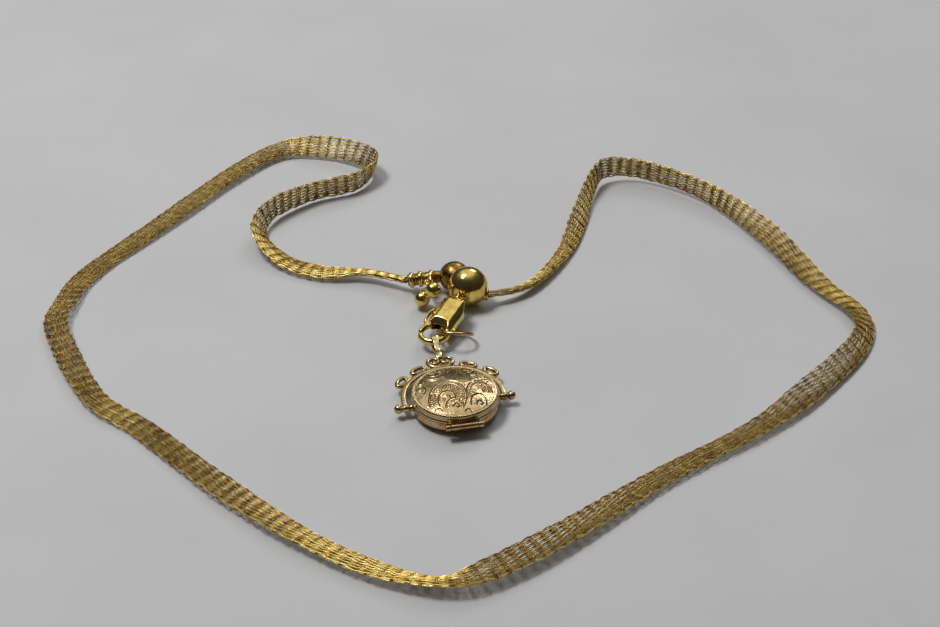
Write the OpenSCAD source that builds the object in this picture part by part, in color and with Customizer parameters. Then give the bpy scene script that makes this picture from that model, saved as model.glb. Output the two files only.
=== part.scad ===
// Pendant necklace: a round hinged locket that spins in a half-round bow, hung by a bail
// on a lobster clasp, which hangs from the ball join of a knitted wire ribbon.
// The back of the locket rests on Z = 0 at the origin, and +Y runs from the locket to the clasp.

/* [Locket] */
// Diameter of the locket's case
locket_d = 12.8; // [12.4:0.1:13]
// Height of the seam between back and cover
seam_z = 2.15; // [2.1:0.05:2.2]
// Height of the cover's rim, where its dome starts
rim_z = 3.45; // [3.4:0.05:3.5]
// Height of the top of the cover
cover_z = 4.5; // [4.4:0.05:4.6]
// Thickness of the case's sheet metal
case_wall = 0.35; // [0.3:0.05:0.35]
// Diameter of the hinge barrel
barrel_d = 0.9; // [0.8:0.05:0.9]
// Length of the middle knuckle of the hinge
knuckle_l = 3.9; // [3.7:0.1:4]
// Diameter of the hinge pin
hinge_pin_d = 0.4; // [0.35:0.05:0.4]

/* [Bow] */
// Height of the pivots that the locket spins on
pivot_z = 1.5; // [1.45:0.05:1.55]
// Half of the clear width inside the bow
bow_inner = 7.05; // [7:0.05:7.15]
// Thickness of the bow's band, seen from above
bow_thick = 0.7; // [0.6:0.05:0.8]
// Height of the bow's band
bow_tall = 1.2; // [1:0.1:1.3]
// Length of the straight legs between the pivots and the half ring
bow_leg = 1.05; // [1.05:0.05:1.15]
// Diameter of the ball on each pivot pin
pivot_ball_d = 1.34; // [1.1:0.02:1.4]
// Diameter of the wire of the scrolls
scroll_wire_d = 0.56; // [0.44:0.02:0.6]

/* [Clasp] */
// Radius of the hook's middle line
hook_r = 2.05; // [2:0.05:2.1]
// Diameter of the hook's bar
hook_wire_d = 1.2; // [1.1:0.05:1.2]
// Thickness of the clasp's body
clasp_thick = 2.9; // [2.6:0.1:3]
// Diameter of the pin that the gate turns on
gate_pin_d = 0.5; // [0.4:0.05:0.5]
// Diameter of the thin ring held in the hook
end_ring_d = 5.5; // [5.4:0.1:5.6]

/* [Chain] */
// Diameter of the big ball of the join
ball_d = 6.4; // [6.3:0.1:6.4]
// Diameter of the two small beads
bead_d = 2.4; // [2:0.1:2.4]
// Width of the knitted ribbon
ribbon_w = 4; // [3.6:0.1:4]
// Diameter of the crimp sleeve
crimp_d = 2.6; // [2.4:0.1:2.8]

/* [Hidden] */
$fn = 64;

yellow_gold = "goldenrod";
pale_gold = "burlywood";
rose_gold = "tan";

// Locket
locket_r = locket_d / 2;
inner_r = locket_r - case_wall;
band_z = 0.8;
back_flat = 0.08;
seam_gap = 0.04;
back_dome_r = (pow(locket_r, 2) + pow(band_z + back_flat, 2)) / (2 * (band_z + back_flat));
back_dome_z = back_dome_r - back_flat;
cover_dome_h = cover_z - rim_z;
cover_dome_r = (pow(locket_r, 2) + pow(cover_dome_h, 2)) / (2 * cover_dome_h);
cover_dome_z = cover_z - cover_dome_r;
rim_fit = 0.07;
lip_r = inner_r - 0.4;
lip_bottom = 1.09;
lip_top = 2.6;
window_t = 0.14;
frame_inner_r = 4.9;
back_frame_z = 1.4;
cover_frame_z = 2.75;
frame_t = 0.3;
hinge_y = -(locket_r + barrel_d / 2);
hinge_z = seam_z + seam_gap / 2;
knuckle_gap = 0.06;
end_knuckle_l = 0.75;
hinge_play = 0.025;

// Pivots and bow
pivot_pin_d = 0.5;
pivot_play = 0.03;
socket_d = 1.0;
socket_reach = 0.35;
collar_d = 1.1;
collar_x = bow_inner + 0.3;
pivot_ball_x = 8.45;
pin_tip_x = locket_r - 0.3;
bow_mid = bow_inner + bow_thick / 2;
wire_r = scroll_wire_d / 2;
loop_r = 0.72;
loop_turn = 300;
solder_gap = 0.01;
top_arc_r = 1.75;
top_corner_r = 0.6;
bow_axis_y = 11.45;

// Clasp: its own frame has the hook's centre at the origin, +X to the hook's end
clasp_at = [0.2, 17.45, 2.14];
clasp_turn = -128;
clasp_dip = 8;
hook_start = -58;
hook_end = 142;
tail_x = -7.9;
tail_bore_r = 0.45;
lug_r = 0.72;
lug_t = 0.6;
gate_pivot = [-3.3, -0.9];
gate_t = 0.8;
gate_w = 0.7;
gate_play = 0.12;
gate_pin_play = 0.02;
mouth_bevel = 1.3;
bail_y = 15.42;
bail_z = 1.89;
strap_t = 0.3;
bail_w = 1.1;

// The clasp's tail in the necklace's frame, and the ball it hangs from
tail_at = clasp_at + tail_x * [cos(clasp_turn) * cos(clasp_dip), sin(clasp_turn) * cos(clasp_dip),
    -sin(clasp_dip)];
ball_r = ball_d / 2;
ball_at = [7.8, 27.9, ball_r];
link_turn = atan2(tail_at[1] - ball_at[1], tail_at[0] - ball_at[0]);
link_dip = -asin((tail_at[2] - ball_at[2]) / norm(tail_at - ball_at));
ring_wire_r = 0.22;
eye_r = 0.7;
eye_reach = ball_r + 0.2;
hang_ring_r = 0.78;
hang_ring_reach = ball_r + 1.1;
end_ring_at = [3.5, 17.3, 1.8];
end_ring_turn = -19;
end_ring_lean = -33;
end_ring_wire_r = 0.25;

// Ball join, crimp and beads
cup_r = 2.7;
cup_at = [6.4, 31.6, 2.9];
cup_gap = 0.01;
crimp_from = [-0.9, 33.4, 2];
crimp_to = [4.4, 32.6, 2.6];
crimp_band_t = 0.25;
bead_r = bead_d / 2;
bead_upper_at = [2.1, 27.45, 3.5];
bead_lower_at = [0.4, 28, 1.7];
bead_neck_r = 0.5;
charm_ring_r = 1.25;
charm_ring_at = [2.1, 30.15, 3.1];
charm_eye_r = 0.55;
bead_eye_open = 68;
crimp_eye_at = [2.1, 31.3, 2.6];

// The ribbon's middle line: round the loop from the crimp to the ball
ribbon_z = 2;
ribbon_route = [[-1, 33.5], [-7, 38], [-14, 40.5], [-19.5, 45.5], [-22.5, 53], [-19.5, 59.5],
    [-12, 64.5], [-4, 66.5], [0, 71], [-1.5, 76], [-7.5, 80.5], [-15, 82.5], [-24, 76.5],
    [-37.5, 62.5], [-50.5, 49], [-55, 40], [-56.5, 32], [-52, 14], [-45, 4], [-35.5, -12],
    [-26.5, -24.5], [-18, -33], [-10, -38], [-3, -37.5], [8, -32.5], [25, -22], [42, -14],
    [54, -6.5], [64, 2.5], [67, 11], [64, 21], [60.5, 36], [54.5, 50.5], [46, 59.5], [39.5, 61],
    [36, 57], [31.5, 48], [26, 38], [18, 29], [10.9, 26.7]];
ribbon_neck_r = 0.95;
ribbon_sides = 8;
ribbon_steps = 2;

// A point on the smooth curve through four points, between the middle two
function between(p, q, r, s, t) = 0.5 * (2 * q + (r - p) * t + (2 * p - 5 * q + 4 * r - s) * t * t
    + (3 * q - p - 3 * r + s) * t * t * t);
function clamp_index(i, n) = max(0, min(n - 1, i));
function smooth_route(route, steps) = [
    for (i = [0 : len(route) - 2], k = [0 : steps - 1])
        between(route[clamp_index(i - 1, len(route))], route[i], route[i + 1],
            route[clamp_index(i + 2, len(route))], k / steps),
    route[len(route) - 1]
];

// A round tube along a level line, narrowed at both ends
module tube_along(line, z, r, neck_r, sides) {
    n = len(line);
    function ahead(i) = line[clamp_index(i + 1, n)] - line[clamp_index(i - 1, n)];
    function radius(i) = min(r, neck_r + 0.4 * min(i, n - 1 - i));
    rings = [for (i = [0 : n - 1], k = [0 : sides - 1])
        let (side = [ahead(i)[1], -ahead(i)[0]] / norm(ahead(i)),
            a = 360 * (k + 0.5) / sides,
            out = radius(i) * cos(a) / cos(180 / sides))
        [line[i][0] + side[0] * out, line[i][1] + side[1] * out,
            z + radius(i) * sin(a)]];
    walls = [for (i = [0 : n - 2], k = [0 : sides - 1], part = [0, 1])
        let (a = i * sides + k, b = i * sides + (k + 1) % sides)
        part == 0 ? [a, b, b + sides] : [a, b + sides, a + sides]];
    first = [for (k = [sides - 1 : -1 : 0]) k];
    last = [for (k = [0 : sides - 1]) (n - 1) * sides + k];
    polyhedron(rings, concat([first], walls, [last]));
}

module torus(ring_r, wire_r) {
    rotate_extrude() translate([ring_r, 0]) circle(wire_r);
}

// Part of a torus from one angle to another
module torus_arc(ring_r, wire_r, from, to) {
    rotate([0, 0, from]) rotate_extrude(angle = to - from) translate([ring_r, 0]) circle(wire_r);
}

// A rod between two points
module rod(from, to, r) {
    along = to - from;
    translate(from)
        rotate([0, acos(along[2] / norm(along)), atan2(along[1], along[0])])
            cylinder(h = norm(along), r = r);
}

module clasp_frame() {
    translate(clasp_at) rotate([0, 0, clasp_turn]) rotate([0, clasp_dip, 0]) children();
}

// +X points from the ball's centre to the clasp's tail
module link_frame() {
    translate(ball_at) rotate([0, 0, link_turn]) rotate([0, link_dip, 0]) children();
}

// ---- Ribbon, crimp and ball join

module ribbon() {
    color(yellow_gold)
        tube_along(smooth_route(ribbon_route, ribbon_steps), ribbon_z, ribbon_w / 2,
            ribbon_neck_r, ribbon_sides);
}

module crimp_sleeve() {
    rod(crimp_from, crimp_to, crimp_d / 2 - crimp_band_t);
}

module left_crimp() {
    color(yellow_gold) crimp_sleeve();
}

module crimp_bands() {
    along = (crimp_to - crimp_from) / norm(crimp_to - crimp_from);
    band_l = 0.7;
    for (at = [0.25, 1.7, 3.5])
        rod(crimp_from + along * at, crimp_from + along * (at + band_l), crimp_d / 2);
}

module crimp_collars() {
    color(yellow_gold) difference() {
        crimp_bands();
        crimp_sleeve();
    }
}

module crimp_eye() {
    color(yellow_gold) difference() {
        translate(crimp_eye_at) torus(charm_eye_r, ring_wire_r);
        crimp_sleeve();
        crimp_bands();
    }
}

module left_cup() {
    color("peru") difference() {
        translate(cup_at) sphere(cup_r);
        translate(ball_at) sphere(ball_r + cup_gap);
        crimp_sleeve();
        join_rod();
    }
}

module join_rod() {
    rod(ball_at + (cup_at - ball_at) * 0.3, ball_at + (cup_at - ball_at) * 1.2, 0.6);
}

module join_pin() {
    color(yellow_gold) join_rod();
}

module ferrule_rod(r) {
    rod([10.9, 26.7, ribbon_z], [9.4, 27.2, ribbon_z], r);
}

module join_ball() {
    color(yellow_gold) difference() {
        translate(ball_at) sphere(ball_r);
        join_rod();
        ferrule_rod(1.1);
        link_frame() translate([eye_reach, 0, 0]) torus(eye_r, ring_wire_r);
    }
}

module ball_eye() {
    color(yellow_gold) link_frame() translate([eye_reach, 0, 0]) torus(eye_r, ring_wire_r);
}

module right_ferrule() {
    color(yellow_gold) ferrule_rod(1.1);
}

// ---- Two beads beside the clasp, on a ring of their own

module charm_ring() {
    color(yellow_gold) translate(charm_ring_at) rotate([0, 90, 0]) torus(charm_ring_r, ring_wire_r);
}

module bead_upper() {
    color(yellow_gold) {
        translate(bead_upper_at) sphere(bead_r);
        translate(bead_upper_at + [0, bead_r + 0.33, 0])
            torus_arc(charm_eye_r, ring_wire_r, bead_eye_open - 90, 270 - bead_eye_open);
    }
}

module bead_neck() {
    color(yellow_gold) difference() {
        rod(bead_lower_at, bead_upper_at, bead_neck_r);
        translate(bead_lower_at) sphere(bead_r);
        translate(bead_upper_at) sphere(bead_r);
    }
}

module bead_lower() {
    color(yellow_gold) translate(bead_lower_at) sphere(bead_r);
}

module hang_ring() {
    color(yellow_gold) link_frame() translate([hang_ring_reach, 0, 0])
        rotate([90, 0, 0]) torus(hang_ring_r, ring_wire_r);
}

// ---- Lobster clasp

// The body's outline from above, and its bevelled section across
module clasp_block() {
    intersection() {
        translate([0, 0, -clasp_thick / 2]) linear_extrude(clasp_thick)
            polygon([[-1.2, 2.6], [-5, 2.5], [-6.6, 1.9], [-7.3, 0.9], [-7.3, -0.9], [-6.6, -1.5],
                [-5, -1.9], [-1.9, -1.9], [-1.2, -0.9]]);
        rotate([90, 0, 90]) translate([0, 0, -8]) linear_extrude(8)
            polygon([[-1.9, -0.6], [-0.8, -clasp_thick / 2], [1.7, -clasp_thick / 2], [2.6, -0.5],
                [2.6, 0.5], [1.7, clasp_thick / 2], [-0.8, clasp_thick / 2], [-1.9, 0.6]]);
    }
}

module clasp_body() {
    slot = gate_t + 2 * gate_play;
    color(yellow_gold) clasp_frame() difference() {
        union() {
            difference() {
                clasp_block();
                cylinder(h = 2 * clasp_thick, r = hook_r - hook_wire_d / 2, center = true);
                for (side = [0, 180]) rotate([side, 0, 0])
                    translate([0, 0, clasp_thick / 2 - mouth_bevel])
                        cylinder(h = 2 * mouth_bevel, r1 = hook_r - hook_wire_d / 2,
                            r2 = hook_r - hook_wire_d / 2 + 2 * mouth_bevel);
            }
            torus_arc(hook_r, hook_wire_d / 2, hook_start, hook_end);
            translate([tail_x, 0, -lug_t / 2]) cylinder(h = lug_t, r = lug_r);
        }
        translate([gate_pivot[0] - 1.1, -3, -slot / 2]) cube([4, 3.6, slot]);
        translate([tail_x, 0, -lug_t]) cylinder(h = 2 * lug_t, r = tail_bore_r);
        translate([gate_pivot[0], gate_pivot[1], -clasp_thick]) cylinder(h = 2 * clasp_thick,
            r = gate_pin_d / 2);
        translate([gate_pivot[0] - 2.1, 0.1, 0]) rotate([0, 90, 0]) cylinder(h = 1.1, r = 0.4);
    }
}

module clasp_pin() {
    pin_l = 2.3;
    color(yellow_gold) clasp_frame() translate([gate_pivot[0], gate_pivot[1], -pin_l / 2])
        cylinder(h = pin_l, r = gate_pin_d / 2);
}

module clasp_spring() {
    color("silver") clasp_frame() translate([gate_pivot[0] - 2.1, 0.1, 0]) rotate([0, 90, 0])
        difference() {
            cylinder(h = 1.1, r = 0.38);
            translate([0, 0, -0.1]) cylinder(h = 1.3, r = 0.2);
        }
}

module clasp_gate() {
    gate_inner = hook_r - gate_w / 2;
    color(yellow_gold) clasp_frame() difference() {
        union() {
            translate([gate_pivot[0], gate_pivot[1], -gate_t / 2]) cylinder(h = gate_t, r = 0.6);
            translate([0, 0, -gate_t / 2]) linear_extrude(gate_t)
                polygon([gate_pivot + [0, -0.5], [-1.9, -2], [-1.3, -1.5], gate_pivot + [0.1, 0.55]]);
            rotate([0, 0, -140]) rotate_extrude(angle = 62)
                translate([gate_inner, -gate_t / 2]) square([gate_w, gate_t]);
            translate([0, 0, -gate_t / 2]) linear_extrude(gate_t)
                polygon([[-1.5, -2.1], [-2.5, -2.45], [-4.9, -2.15], [-4.95, -2.45], [-3.6, -2.9],
                    [-2.3, -2.8], [-1.2, -2.1]]);
        }
        translate([gate_pivot[0], gate_pivot[1], -gate_t]) cylinder(h = 2 * gate_t,
            r = gate_pin_d / 2 + gate_pin_play);
    }
}

module end_ring() {
    color(yellow_gold) translate(end_ring_at) rotate([0, 0, end_ring_turn])
        rotate([end_ring_lean, 0, 0]) torus(end_ring_d / 2, end_ring_wire_r);
}

// ---- Bail and bow

// A strap folded into a long eye: round the hook's bar and round the top scroll's bar
module bail() {
    top_r = hook_wire_d / 2 + 0.15;
    foot_r = wire_r + 0.14;
    color(pale_gold) rotate([90, 0, 90]) difference() {
        bail_eye(top_r + strap_t, foot_r + strap_t, bail_w);
        bail_eye(top_r, foot_r, bail_w + 1);
    }
}

module bail_eye(top_r, foot_r, w) {
    translate([0, 0, -w / 2]) linear_extrude(w) hull() {
        translate([bail_y, bail_z]) circle(top_r, $fn = 32);
        translate([bow_axis_y, pivot_z]) circle(foot_r, $fn = 32);
    }
}

module bow_band() {
    color(rose_gold) difference() {
        translate([0, 0, pivot_z - bow_tall / 2]) {
            translate([0, bow_leg, 0]) rotate_extrude(angle = 180)
                translate([bow_inner, 0]) square([bow_thick, bow_tall]);
            for (side = [-1, 1])
                translate([side * bow_mid - bow_thick / 2, 0, 0])
                    cube([bow_thick, bow_leg, bow_tall]);
        }
        for (side = [-1, 1]) translate([side * collar_x, 0, pivot_z]) sphere(d = collar_d);
    }
}

module pivot_collar(side) {
    color(rose_gold) difference() {
        translate([side * collar_x, 0, pivot_z]) sphere(d = collar_d);
        translate([0, 0, pivot_z]) rotate([0, side * 90, 0]) cylinder(h = 9, d = pivot_pin_d);
    }
}

module pivot_pin(side) {
    color(rose_gold) {
        translate([side * pivot_ball_x, 0, pivot_z]) sphere(d = pivot_ball_d);
        translate([side * pin_tip_x, 0, pivot_z]) rotate([0, side * 90, 0])
            cylinder(h = pivot_ball_x - pin_tip_x, d = pivot_pin_d);
    }
}

// One wire scroll on the bow: a tail that follows the band, then a loop that curls outwards.
// Both angles are measured from the bow's top.
module side_scroll(side, loop_angle, foot_angle) {
    tail_reach = bow_inner + bow_thick + wire_r + solder_gap;
    centre = (tail_reach + loop_r) * [sin(loop_angle), cos(loop_angle), 0];
    curl_start = 270 - loop_angle;
    color(rose_gold) translate([0, bow_leg, pivot_z]) mirror([side < 0 ? 1 : 0, 0, 0]) {
        torus_arc(tail_reach, wire_r, 90 - loop_angle, 90 - foot_angle);
        translate(centre) torus_arc(loop_r, wire_r, curl_start, curl_start + loop_turn);
    }
}

// The wire eye on top of the bow: a round bottom, two curled corners and a bar
module top_scroll() {
    arc_y = bow_axis_y - top_corner_r;
    corner_x = top_arc_r - top_corner_r;
    color(rose_gold) difference() {
        translate([0, 0, pivot_z]) {
            translate([0, arc_y, 0]) torus_arc(top_arc_r, wire_r, 180, 360);
            translate([corner_x, arc_y, 0]) torus_arc(top_corner_r, wire_r, 0, 90);
            translate([-corner_x, arc_y, 0]) torus_arc(top_corner_r, wire_r, 90, 180);
            rod([-corner_x, bow_axis_y, 0], [corner_x, bow_axis_y, 0], wire_r);
        }
        translate([0, bow_leg, 0]) cylinder(h = 2 * bow_mid, r = bow_inner + bow_thick,
            center = true, $fn = 128);
    }
}

// ---- Locket: back half

module case_round(r, from, to) {
    translate([0, 0, from]) cylinder(h = to - from, r = r, $fn = 128);
}

module back_case() {
    color(rose_gold) difference() {
        intersection() {
            case_round(locket_r, 0, seam_z);
            translate([0, 0, back_dome_z]) sphere(back_dome_r, $fn = 256);
        }
        intersection() {
            case_round(inner_r, 0.1, seam_z + 1);
            translate([0, 0, back_dome_z]) sphere(back_dome_r - case_wall, $fn = 256);
        }
        for (side = [-1, 1]) pivot_bore(side);
    }
}

module pivot_bore(side) {
    translate([side * (inner_r - 0.2), 0, pivot_z]) rotate([0, side * 90, 0])
        cylinder(h = 2, d = pivot_pin_d + 2 * pivot_play);
}

module snap_rim() {
    color(rose_gold) difference() {
        case_round(inner_r, lip_bottom, lip_top);
        case_round(lip_r, 0, lip_top + 1);
        for (side = [-1, 1]) translate([side * (pin_tip_x - 0.1), 0, pivot_z])
            rotate([0, side * 90, 0]) cylinder(h = 1, d = pivot_pin_d + 2 * pivot_play);
    }
}

module back_window() {
    color("lightcyan") case_round(lip_r, back_frame_z - window_t, back_frame_z);
}

module back_frame() {
    color(yellow_gold) difference() {
        case_round(lip_r, back_frame_z, back_frame_z + frame_t);
        case_round(frame_inner_r, 0, back_frame_z + 1);
    }
}

module pivot_socket(side) {
    color(rose_gold) difference() {
        translate([side * (locket_r - 0.3), 0, pivot_z]) rotate([0, side * 90, 0])
            cylinder(h = 0.3 + socket_reach, d = socket_d);
        case_round(locket_r, 0, seam_z);
        pivot_bore(side);
    }
}

// A length of hinge barrel with a leaf to the case, from one X to another
module knuckle(from, to, leaf_z, bore_d) {
    leaf_t = 0.42;
    difference() {
        union() {
            translate([from, hinge_y, hinge_z]) rotate([0, 90, 0])
                cylinder(h = to - from, d = barrel_d);
            translate([from, hinge_y, leaf_z]) cube([to - from, 1.2, leaf_t]);
        }
        translate([from - 1, hinge_y, hinge_z]) rotate([0, 90, 0])
            cylinder(h = to - from + 2, d = bore_d);
        case_round(locket_r, 0, 2 * seam_z);
    }
}

module case_knuckles() {
    inner_end = knuckle_l / 2 + knuckle_gap;
    outer_end = inner_end + end_knuckle_l;
    leaf_z = seam_z - 0.44;
    color(rose_gold) {
        knuckle(-outer_end, -inner_end, leaf_z, hinge_pin_d);
        knuckle(inner_end, outer_end, leaf_z, hinge_pin_d);
    }
}

module hinge_pin() {
    pin_l = knuckle_l + 2 * (knuckle_gap + end_knuckle_l);
    color("darkgoldenrod") translate([-pin_l / 2, hinge_y, hinge_z]) rotate([0, 90, 0])
        cylinder(h = pin_l, d = hinge_pin_d);
}

// ---- Locket: cover

module front_cover() {
    bottom = seam_z + seam_gap;
    color(rose_gold) difference() {
        intersection() {
            case_round(locket_r, bottom, cover_z + 1);
            translate([0, 0, cover_dome_z]) sphere(cover_dome_r, $fn = 256);
        }
        intersection() {
            case_round(inner_r + rim_fit, bottom - 1, cover_z);
            translate([0, 0, cover_dome_z]) sphere(cover_dome_r - case_wall, $fn = 256);
        }
    }
}

module cover_knuckle() {
    color(rose_gold)
        knuckle(-knuckle_l / 2, knuckle_l / 2, seam_z + 0.06, hinge_pin_d + 2 * hinge_play);
}

module cover_frame() {
    color(yellow_gold) difference() {
        case_round(inner_r + rim_fit, cover_frame_z, cover_frame_z + frame_t);
        case_round(frame_inner_r, 0, cover_frame_z + 1);
    }
}

module cover_window() {
    window_r = 5.6;
    color("lightcyan")
        case_round(window_r, cover_frame_z + frame_t, cover_frame_z + frame_t + window_t);
}

ribbon();
left_crimp();
crimp_collars();
crimp_eye();
left_cup();
join_ball();
join_pin();
ball_eye();
right_ferrule();
charm_ring();
bead_upper();
bead_neck();
bead_lower();
hang_ring();
clasp_body();
clasp_pin();
clasp_spring();
clasp_gate();
end_ring();
bail();
bow_band();
top_scroll();
side_scroll(-1, 25, 9);  // scroll_left_upper
side_scroll(-1, 50, 34);  // scroll_left_lower
side_scroll(1, 25, 9);  // scroll_right_upper
side_scroll(1, 50, 34);  // scroll_right_lower
pivot_collar(-1);  // pivot_collar_left
pivot_collar(1);  // pivot_collar_right
pivot_pin(-1);  // pivot_pin_left
pivot_pin(1);  // pivot_pin_right
back_case();
snap_rim();
back_window();
back_frame();
case_knuckles();
hinge_pin();
pivot_socket(-1);  // pivot_socket_left
pivot_socket(1);  // pivot_socket_right
front_cover();
cover_knuckle();
cover_window();
cover_frame();
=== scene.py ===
import math

import bmesh
import bpy
import numpy as np
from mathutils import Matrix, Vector


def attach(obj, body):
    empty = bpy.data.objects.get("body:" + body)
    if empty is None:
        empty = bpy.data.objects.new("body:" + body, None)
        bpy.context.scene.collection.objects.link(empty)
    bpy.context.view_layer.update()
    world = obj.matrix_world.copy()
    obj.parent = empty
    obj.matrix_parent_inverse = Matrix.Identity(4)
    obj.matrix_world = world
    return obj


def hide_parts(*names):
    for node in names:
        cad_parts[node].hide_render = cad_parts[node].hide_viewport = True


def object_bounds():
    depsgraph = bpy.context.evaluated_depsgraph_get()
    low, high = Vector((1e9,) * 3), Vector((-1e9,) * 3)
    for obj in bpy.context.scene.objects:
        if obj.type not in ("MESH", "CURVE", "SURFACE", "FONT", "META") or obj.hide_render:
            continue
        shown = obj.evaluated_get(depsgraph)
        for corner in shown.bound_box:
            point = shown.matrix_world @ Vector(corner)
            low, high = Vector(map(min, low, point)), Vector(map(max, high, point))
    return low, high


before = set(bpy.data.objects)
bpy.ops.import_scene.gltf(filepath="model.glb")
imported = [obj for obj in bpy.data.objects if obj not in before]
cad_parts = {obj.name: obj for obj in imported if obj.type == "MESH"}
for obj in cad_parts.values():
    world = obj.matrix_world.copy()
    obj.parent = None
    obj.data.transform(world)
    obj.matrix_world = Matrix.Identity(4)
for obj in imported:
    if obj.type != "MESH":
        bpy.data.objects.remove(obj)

cad_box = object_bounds()
MM = 0.001
rng = np.random.default_rng(11)


# ---------------------------------------------------------------- camera

camera_data = bpy.data.cameras.new("camera")
camera_data.sensor_width = 36
camera_data.lens = 72.77
camera_data.clip_start = 0.01
camera = bpy.data.objects.new("camera", camera_data)
bpy.context.scene.collection.objects.link(camera)
camera.location = (-0.0447, -0.2207, 0.16555)
camera.rotation_euler = (math.radians(56.6), 0, math.radians(-12))
bpy.context.scene.camera = camera
bpy.context.scene.view_settings.view_transform = "Standard"


# ---------------------------------------------------------------- materials

def tree_of(name):
    """A material with a Principled shader, and a function that adds a node and links what it is given."""
    material = bpy.data.materials.new(name)
    material.use_nodes = True
    tree = material.node_tree
    shader = tree.nodes["Principled BSDF"]

    def add(kind, inputs=(), **settings):
        node = tree.nodes.new("ShaderNode" + kind)
        for key, value in settings.items():
            setattr(node, key, value)
        for key, value in dict(inputs).items():
            if isinstance(value, bpy.types.NodeSocket):
                tree.links.new(value, node.inputs[key])
            else:
                node.inputs[key].default_value = value
        return node

    def link(a, b):
        tree.links.new(a, b)

    return material, shader, add, link


def ramp(add, factor, stops):
    node = add("ValToRGB", {"Fac": factor})
    elements = node.color_ramp.elements
    while len(elements) < len(stops):
        elements.new(0.5)
    for element, (at, colour) in zip(elements, stops):
        element.position = at
        element.color = (*colour, 1) if len(colour) == 3 else colour
    return node.outputs["Color"]


def grey(v):
    return (v, v, v)


def gold(name, light, mid, dark, rough=(0.12, 0.3), patch=0.7, scratch=0.25, dent=0.15, relief=None,
         grime_and_shade_colour=(0.09, 0.05, 0.02)):
    """Worn polished gold: tone patches, fine scratches, soft dents, and, where a relief attribute is given, a
    darker, rougher colour by it: grime plus painted shade in cuts, seams and grooves.
    """
    material, shader, add, link = tree_of(name)
    place = add("TexCoord").outputs["Object"]
    mm = add("Mapping", {"Vector": place, "Scale": (1000, 1000, 1000)}).outputs["Vector"]
    tone = add("TexNoise", {"Vector": mm, "Scale": patch, "Detail": 6, "Roughness": 0.65}).outputs["Fac"]
    colour = ramp(add, tone, [(0.3, dark), (0.48, mid), (0.62, light)])
    specks = add("TexNoise", {"Vector": mm, "Scale": 9, "Detail": 2}).outputs["Fac"]
    speck = ramp(add, specks, [(0.66, grey(0)), (0.75, grey(0.5))])
    colour = add("Mix", {"Factor": speck, "A": colour, "B": (*dark, 1)}, data_type="RGBA").outputs["Result"]
    streaky = add("Mapping", {"Vector": mm, "Scale": (2, 26, 9),
                              "Rotation": (0.4, 0.3, 0.7)}).outputs["Vector"]
    lines = add("TexNoise", {"Vector": streaky, "Scale": 1, "Detail": 3}).outputs["Fac"]
    crossing = add("Mapping", {"Vector": mm, "Scale": (24, 3, 11),
                               "Rotation": (0.1, 0.9, 2.1)}).outputs["Vector"]
    lines2 = add("TexNoise", {"Vector": crossing, "Scale": 1, "Detail": 3}).outputs["Fac"]
    both = add("Math", {0: lines, 1: lines2}, operation="MULTIPLY").outputs["Value"]
    smear = add("TexNoise", {"Vector": mm, "Scale": 2.2, "Detail": 5}).outputs["Fac"]
    roughness = add("MapRange", {"Value": smear, 1: 0.35, 2: 0.7, 3: rough[0], 4: rough[1]}).outputs["Result"]
    height = add("Math", {0: both, 1: scratch}, operation="MULTIPLY").outputs["Value"]
    soft = add("TexNoise", {"Vector": mm, "Scale": 1.1, "Detail": 1}).outputs["Fac"]
    soft = add("Math", {0: soft, 1: dent * 8}, operation="MULTIPLY").outputs["Value"]
    height = add("Math", {0: height, 1: soft}, operation="ADD").outputs["Value"]
    if relief:
        # Painted shade with grime: the relief attribute darkens and roughens the colour where cuts, seams and
        # grooves would lie in shade.
        low = add("Attribute", attribute_name=relief).outputs["Fac"]
        grime_and_shade = ramp(add, low, [(0.25, grey(0)), (0.8, grey(1))])
        colour = add("Mix", {"Factor": grime_and_shade, "A": colour, "B": (*grime_and_shade_colour, 1)},
                     data_type="RGBA").outputs["Result"]
        roughness = add("MapRange", {"Value": low, 1: 0.2, 2: 0.9, 3: roughness, 4: 0.55}).outputs["Result"]
    bump = add("Bump", {"Height": height, "Strength": 0.5, "Distance": 0.00003}).outputs["Normal"]
    link(colour, shader.inputs["Base Color"])
    link(roughness, shader.inputs["Roughness"])
    link(bump, shader.inputs["Normal"])
    shader.inputs["Metallic"].default_value = 1
    return material


YELLOW = gold("yellow_gold", (0.86, 0.66, 0.2), (0.76, 0.55, 0.14), (0.5, 0.32, 0.07), rough=(0.08, 0.2))
BROWN = gold("tarnished_gold", (0.45, 0.29, 0.08), (0.27, 0.15, 0.04), (0.1, 0.05, 0.012), rough=(0.2, 0.42),
             patch=1.1)
PALE = gold("pale_gold", (0.78, 0.67, 0.4), (0.66, 0.53, 0.28), (0.42, 0.31, 0.14), rough=(0.1, 0.25))
ROSE = gold("rose_gold", (0.62, 0.47, 0.22), (0.5, 0.36, 0.16), (0.3, 0.19, 0.08), rough=(0.12, 0.28))
CASE = gold("case_gold", (0.66, 0.46, 0.22), (0.52, 0.34, 0.15), (0.3, 0.17, 0.07), rough=(0.14, 0.3))
# The engraved gold is darkened by the cover's cut attribute: grime plus painted shade.
ENGRAVED = gold("engraved_gold", (0.68, 0.51, 0.28), (0.58, 0.42, 0.21), (0.4, 0.27, 0.12),
                rough=(0.14, 0.3), relief="cut", scratch=0.3, grime_and_shade_colour=(0.13, 0.075, 0.03))


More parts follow.
